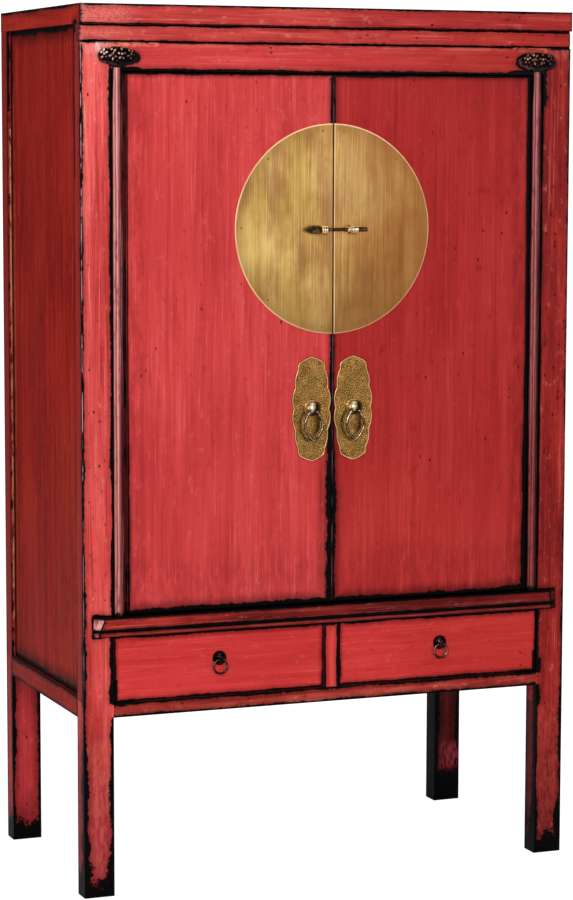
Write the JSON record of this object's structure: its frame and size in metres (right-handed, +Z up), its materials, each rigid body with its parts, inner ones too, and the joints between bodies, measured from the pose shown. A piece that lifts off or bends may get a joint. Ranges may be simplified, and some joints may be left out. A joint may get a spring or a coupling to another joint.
{
  "type": "chinese wedding cabinet",
  "caption": "Tall lacquered cabinet on square legs: pivoted doors with a round brass plate and ring handles over a row of drawers, shelves inside.",
  "frame": {"origin": "on the floor, under the middle of the overall box", "axes": "+Z up along the posts; the front with the doors faces -Y; +X to the right of someone facing the front"},
  "size_m": [1.14, 0.614, 1.9],
  "materials": {
    "red_lacquer": "brushed red lacquer, satin, worn, with black glaze along the edges",
    "side_lacquer": "darker red lacquer with vertical brush streaks",
    "black_lacquer": "black lacquer with rubbed gold and red highlights",
    "bare_wood": "stained bare softwood",
    "antique_brass": "brushed antique brass with brown patina",
    "dark_iron": "blackened iron, rubbed"
  },
  "bodies": {
    "carcass": {"front_left_post": "red_lacquer", "front_right_post": "red_lacquer", "back_left_post": "red_lacquer", "back_right_post": "red_lacquer", "top_frame_front": "red_lacquer", "top_frame_back": "red_lacquer", "top_frame_left": "red_lacquer", "top_frame_right": "red_lacquer", "top_panel": "red_lacquer", "frieze_strip": "red_lacquer", "front_top_rail": "red_lacquer", "sill_rail": "red_lacquer", "front_bottom_rail": "red_lacquer", "drawer_divider": "red_lacquer", "left_bottom_rail": "red_lacquer", "right_bottom_rail": "red_lacquer", "back_bottom_rail": "red_lacquer", "left_side_panel": "side_lacquer", "right_side_panel": "side_lacquer", "back_panel": "bare_wood", "cabinet_floor": "bare_wood", "lower_shelf": "bare_wood", "upper_shelf": "bare_wood", "shelf_cleats": "bare_wood", "drawer_runners": "bare_wood", "left_pivot_block": "black_lacquer", "right_pivot_block": "black_lacquer"},
    "left_door": {"left_door_leaf": "red_lacquer", "left_door_hinge_stile": "red_lacquer", "left_door_battens": "bare_wood", "left_door_disc_half": "antique_brass", "left_door_lock_eye": "antique_brass", "left_door_handle_plate": "antique_brass", "left_door_boss": "antique_brass", "left_door_nails": "antique_brass"},
    "left_door_ring_body": {"left_door_ring": "antique_brass"},
    "right_door": {"right_door_leaf": "red_lacquer", "right_door_hinge_stile": "red_lacquer", "right_door_battens": "bare_wood", "right_door_disc_half": "antique_brass", "right_door_lock_eye": "antique_brass", "right_door_handle_plate": "antique_brass", "right_door_boss": "antique_brass", "right_door_nails": "antique_brass"},
    "right_door_ring_body": {"right_door_ring": "antique_brass"},
    "lock_head_body": {"lock_pin_head": "dark_iron"},
    "lock_tail_body": {"lock_pin_tail": "dark_iron"},
    "left_drawer": {"left_drawer_front": "red_lacquer", "left_drawer_sides": "bare_wood", "left_drawer_back": "bare_wood", "left_drawer_base": "bare_wood", "left_drawer_boss": "dark_iron"},
    "left_drawer_ring_body": {"left_drawer_ring": "dark_iron"},
    "right_drawer": {"right_drawer_front": "red_lacquer", "right_drawer_sides": "bare_wood", "right_drawer_back": "bare_wood", "right_drawer_base": "bare_wood", "right_drawer_boss": "dark_iron"},
    "right_drawer_ring_body": {"right_drawer_ring": "dark_iron"}
  },
  "joints": [
    {"name": "left_door_swing", "type": "hinge", "parent": "carcass", "child": "left_door", "pos_m": [-0.489, -0.282, 0.6], "axis": [0, 0, -1], "range_deg": [0, 120]},
    {"name": "left_door_ring_swing", "type": "hinge", "parent": "left_door", "child": "left_door_ring_body", "pos_m": [-0.049, -0.2985, 1.0325], "axis": [-1, 0, 0], "range_deg": [-3, 110]},
    {"name": "right_door_swing", "type": "hinge", "parent": "carcass", "child": "right_door", "pos_m": [0.489, -0.282, 0.6], "axis": [0, 0, 1], "range_deg": [0, 120]},
    {"name": "right_door_ring_swing", "type": "hinge", "parent": "right_door", "child": "right_door_ring_body", "pos_m": [0.049, -0.2985, 1.0325], "axis": [-1, 0, 0], "range_deg": [-3, 110]},
    {"name": "lock_head_slide", "type": "slide", "parent": "left_door", "child": "lock_head_body", "axis": [-1, 0, 0], "range_m": [0, 0.018]},
    {"name": "lock_tail_slide", "type": "slide", "parent": "right_door", "child": "lock_tail_body", "axis": [1, 0, 0], "range_m": [0, 0.035]},
    {"name": "left_drawer_slide", "type": "slide", "parent": "carcass", "child": "left_drawer", "axis": [0, -1, 0], "range_m": [0, 0.38]},
    {"name": "left_drawer_ring_swing", "type": "hinge", "parent": "left_drawer", "child": "left_drawer_ring_body", "pos_m": [-0.262, -0.2915, 0.501], "axis": [-1, 0, 0], "range_deg": [-3, 110]},
    {"name": "right_drawer_slide", "type": "slide", "parent": "carcass", "child": "right_drawer", "axis": [0, -1, 0], "range_m": [0, 0.38]},
    {"name": "right_drawer_ring_swing", "type": "hinge", "parent": "right_drawer", "child": "right_drawer_ring_body", "pos_m": [0.262, -0.2915, 0.501], "axis": [-1, 0, 0], "range_deg": [-3, 110]}
  ]
}
